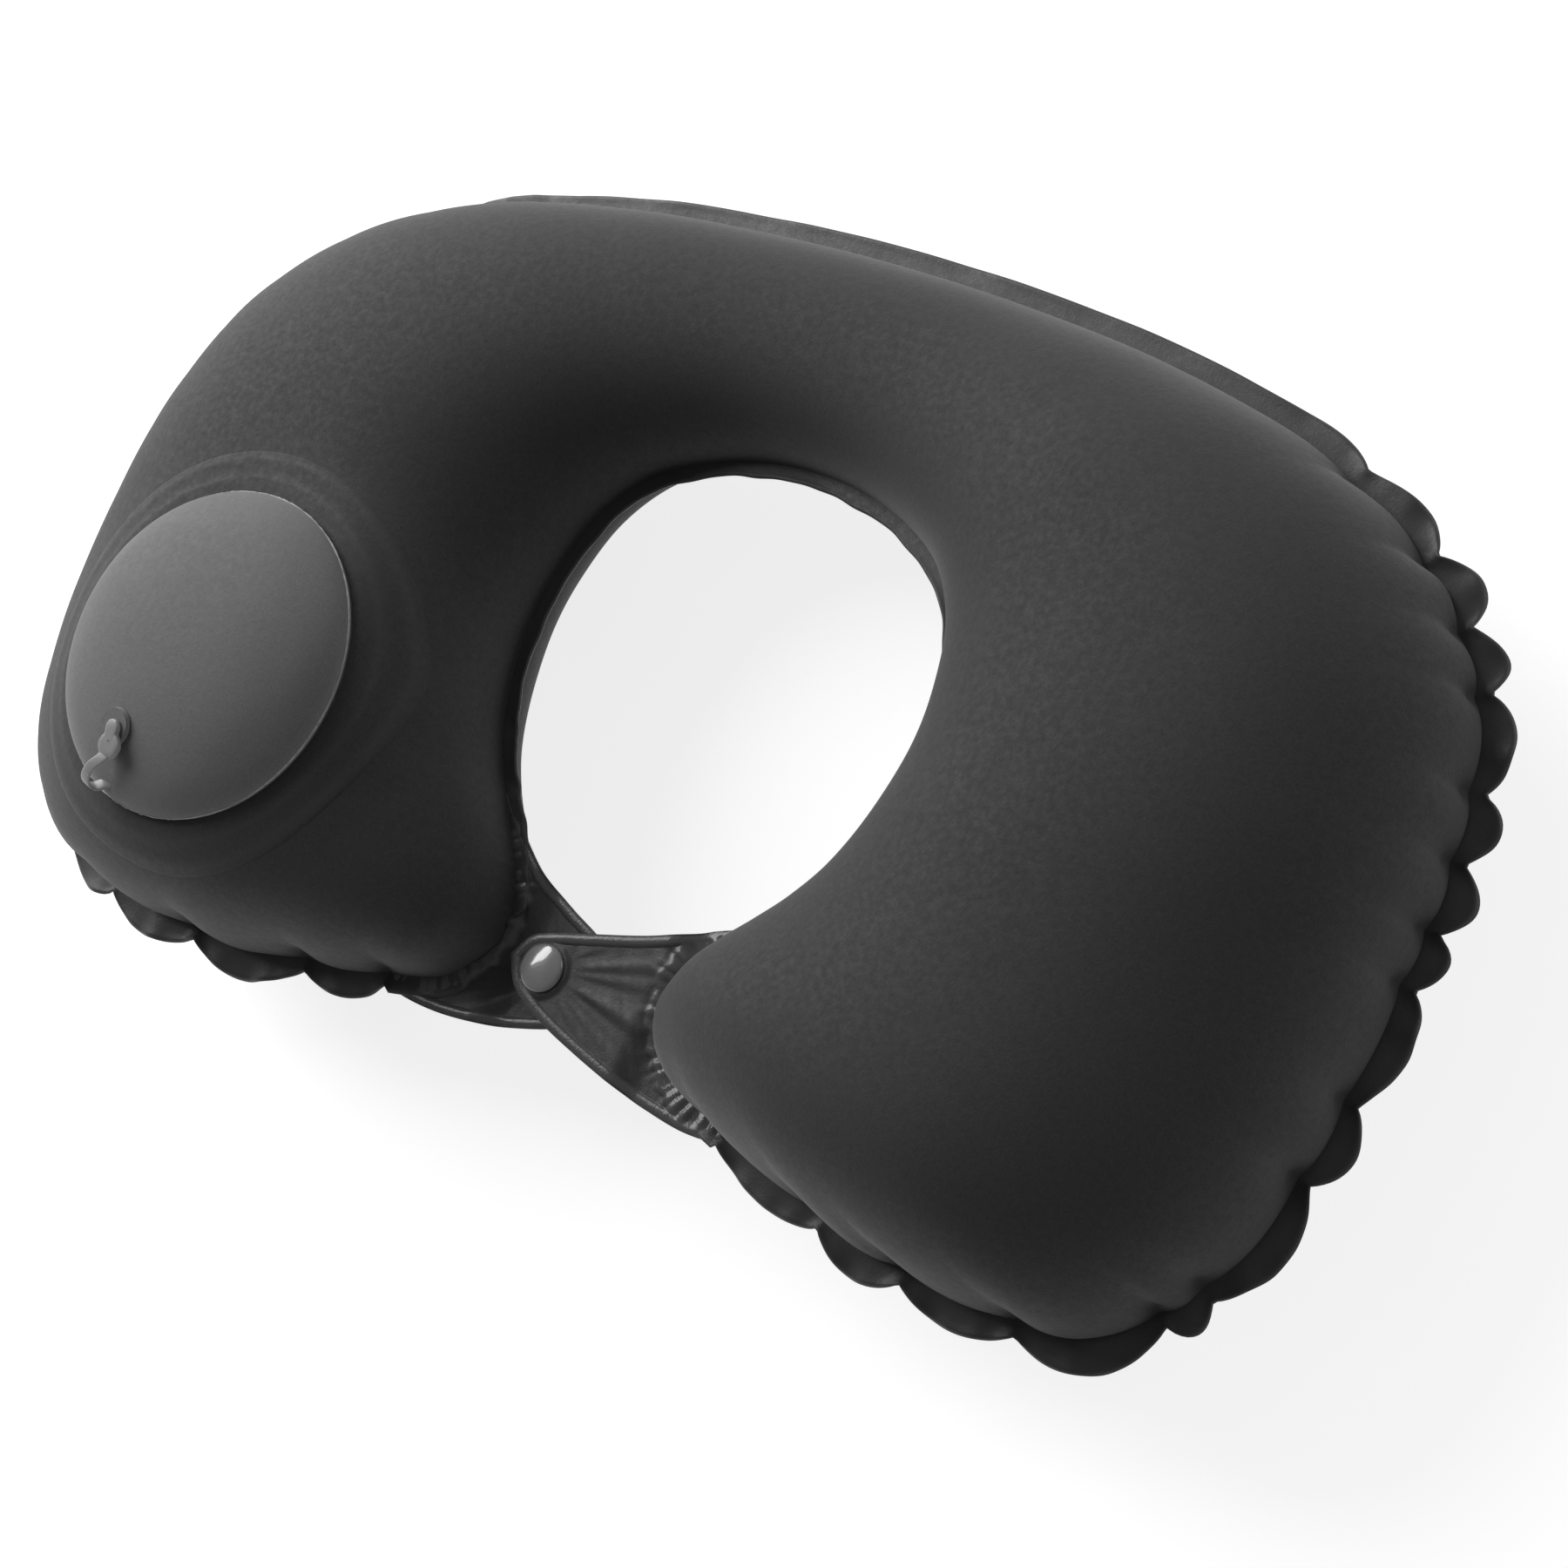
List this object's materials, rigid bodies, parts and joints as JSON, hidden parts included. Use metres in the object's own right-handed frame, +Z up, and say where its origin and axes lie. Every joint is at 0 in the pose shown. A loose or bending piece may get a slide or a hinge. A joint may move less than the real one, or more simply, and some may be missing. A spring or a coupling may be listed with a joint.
{
  "type": "neck pillow",
  "caption": "Inflatable U-shaped neck pillow of welded fabric panels, with a press pump dome, a plug on a strap, a release valve and snap tabs.",
  "frame": {"origin": "centre of the bounding box, at the level it rests on", "axes": "+Z up as it lies flat, +Y towards the back of the neck, the open front towards -Y, the pump on the -X arm"},
  "size_m": [0.4404, 0.2616, 0.1122],
  "materials": {
    "panel_fabric": "matte fine suede-like coated fabric",
    "patch_film": "matte welded film",
    "pump_fabric": "matte grey coated fabric",
    "foam": "open-cell foam",
    "valve_plastic": "satin soft plastic",
    "plug_plastic": "satin soft plastic",
    "flap_rubber": "thin soft rubber",
    "tab_film": "welded fabric plies, slightly shiny",
    "snap_plastic": "glossy moulded plastic"
  },
  "bodies": {
    "pillow": {"upper_panel": "panel_fabric", "lower_panel": "panel_fabric", "pump_base": "patch_film", "pump_patch": "patch_film", "outlet_valve_seat": "valve_plastic", "release_valve_seat": "valve_plastic"},
    "pump_top": {"pump_dome_cover": "pump_fabric", "pump_foam": "foam"},
    "outlet_flap": {"outlet_check_flap": "flap_rubber"},
    "inlet_valve": {"inlet_valve_seat": "valve_plastic"},
    "inlet_flap": {"inlet_check_flap": "flap_rubber"},
    "inlet_plug": {"inlet_plug": "plug_plastic", "inlet_plug_tether": "plug_plastic"},
    "release_plug": {"release_valve_plug": "plug_plastic", "release_valve_tether": "plug_plastic"},
    "right_tab": {"right_tab_upper_ply": "tab_film", "right_tab_lower_ply": "tab_film", "snap_cap": "snap_plastic", "snap_socket": "snap_plastic"},
    "left_tab": {"left_tab_upper_ply": "tab_film", "left_tab_lower_ply": "tab_film", "snap_stud": "snap_plastic", "snap_back_cap": "snap_plastic"}
  },
  "joints": [
    {"name": "pump_press", "type": "slide", "parent": "pillow", "child": "pump_top", "axis": [0, 0, -1], "range_m": [0, 0.008], "stiffness_N_per_m": 1500, "deforming": ["pump_dome_cover", "pump_foam"]},
    {"name": "inlet_ride", "type": "slide", "parent": "pillow", "child": "inlet_valve", "axis": [0, 0, -1], "range_m": [0, 0.0056]},
    {"name": "inlet_plug_pull", "type": "slide", "parent": "inlet_valve", "child": "inlet_plug", "axis": [-0.0536, -0.2151, 0.9751], "range_m": [0, 0.006], "deforming": ["inlet_plug_tether"]},
    {"name": "inlet_flap_open", "type": "hinge", "parent": "inlet_valve", "child": "inlet_flap", "pos_m": [-0.13361, -0.08151, 0.10391], "axis": [-0.9703, 0.2419, 0], "range_deg": [0, 25], "stiffness_Nm_per_rad": 0.0005},
    {"name": "outlet_flap_open", "type": "hinge", "parent": "pillow", "child": "outlet_flap", "pos_m": [-0.121, -0.051, 0.09145], "axis": [0, -1, 0], "range_deg": [0, 30], "stiffness_Nm_per_rad": 0.0005},
    {"name": "release_plug_pull", "type": "slide", "parent": "pillow", "child": "release_plug", "axis": [-0.5536, -0.0935, -0.8275], "range_m": [0, 0.006], "deforming": ["release_valve_tether"]},
    {"name": "right_tab_fold", "type": "hinge", "parent": "pillow", "child": "right_tab", "pos_m": [0.0243, -0.0894, 0.0462], "axis": [0, 1, 0], "range_deg": [0, 85], "stiffness_Nm_per_rad": 0.03},
    {"name": "left_tab_fold", "type": "hinge", "parent": "pillow", "child": "left_tab", "pos_m": [-0.0243, -0.09, 0.0438], "axis": [0, 1, 0], "range_deg": [0, 70], "stiffness_Nm_per_rad": 0.03}
  ],
  "couplings": [
    {"joint": "inlet_ride", "follows": "pump_press", "ratio": 0.7}
  ]
}
